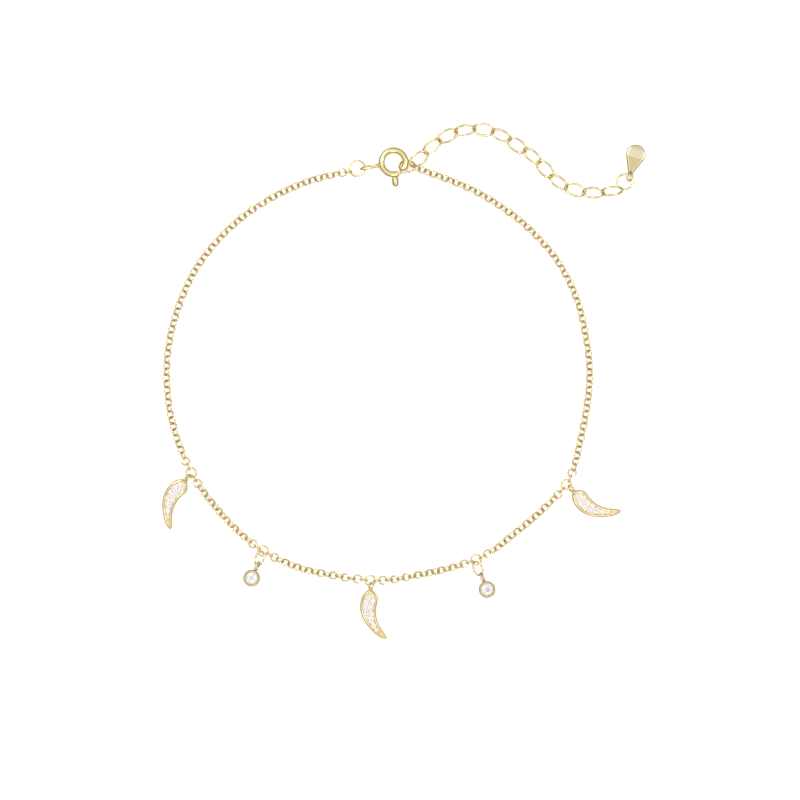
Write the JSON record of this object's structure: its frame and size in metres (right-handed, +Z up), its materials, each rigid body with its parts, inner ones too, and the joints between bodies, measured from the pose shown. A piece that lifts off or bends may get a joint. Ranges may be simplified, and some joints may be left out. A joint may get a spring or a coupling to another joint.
{
  "type": "charm anklet",
  "caption": "Fine gold link-chain anklet with pave horn charms, bezel-set drops, a spring-ring clasp and an extender with a tag.",
  "frame": {"origin": "middle of the outline of the whole anklet as it lies, on the surface it lies on", "axes": "+Z up from the surface, +Y towards the clasp, +X towards the extender's tag"},
  "size_m": [0.0724, 0.0772, 0.0019],
  "materials": {
    "gold": "polished light yellow gold plating",
    "tag_gold": "satin pale gold plating",
    "crystal": "clear colourless cut stone"
  },
  "bodies": {
    "anklet": {"chain_left_side": "gold", "chain_left": "gold", "chain_centre_left": "gold", "chain_centre_right": "gold", "chain_right": "gold", "chain_right_side": "gold", "ring_left_horn": "gold", "ring_left_drop": "gold", "ring_centre_horn": "gold", "ring_right_drop": "gold", "ring_right_horn": "gold", "horn_left": "gold", "stone_left_1": "crystal", "stone_left_2": "crystal", "stone_left_3": "crystal", "stone_left_4": "crystal", "stone_left_5": "crystal", "stone_left_6": "crystal", "stone_left_7": "crystal", "stone_left_8": "crystal", "stone_left_9": "crystal", "stone_left_10": "crystal", "horn_centre": "gold", "stone_centre_1": "crystal", "stone_centre_2": "crystal", "stone_centre_3": "crystal", "stone_centre_4": "crystal", "stone_centre_5": "crystal", "stone_centre_6": "crystal", "stone_centre_7": "crystal", "stone_centre_8": "crystal", "stone_centre_9": "crystal", "stone_centre_10": "crystal", "horn_right": "gold", "stone_right_1": "crystal", "stone_right_2": "crystal", "stone_right_3": "crystal", "stone_right_4": "crystal", "stone_right_5": "crystal", "stone_right_6": "crystal", "stone_right_7": "crystal", "stone_right_8": "crystal", "stone_right_9": "crystal", "stone_right_10": "crystal", "ring_left_hanging": "gold", "bezel_left": "gold", "stone_left_drop": "crystal", "ring_right_hanging": "gold", "bezel_right": "gold", "stone_right_drop": "crystal", "jump_ring_left": "gold", "jump_ring_right": "gold", "clasp_body": "gold", "extender_chain": "gold", "jump_ring_tag": "gold", "tag": "tag_gold"},
    "clasp_bolt": {"clasp_bolt": "gold"}
  },
  "joints": [
    {"name": "clasp_bolt_turn", "type": "hinge", "parent": "anklet", "child": "clasp_bolt", "pos_m": [-0.00157, 0.03275, 0.00082], "axis": [0, 0, 1], "range_deg": [-42, 0], "stiffness_Nm_per_rad": 0.0002, "springref_deg": 20.05}
  ]
}
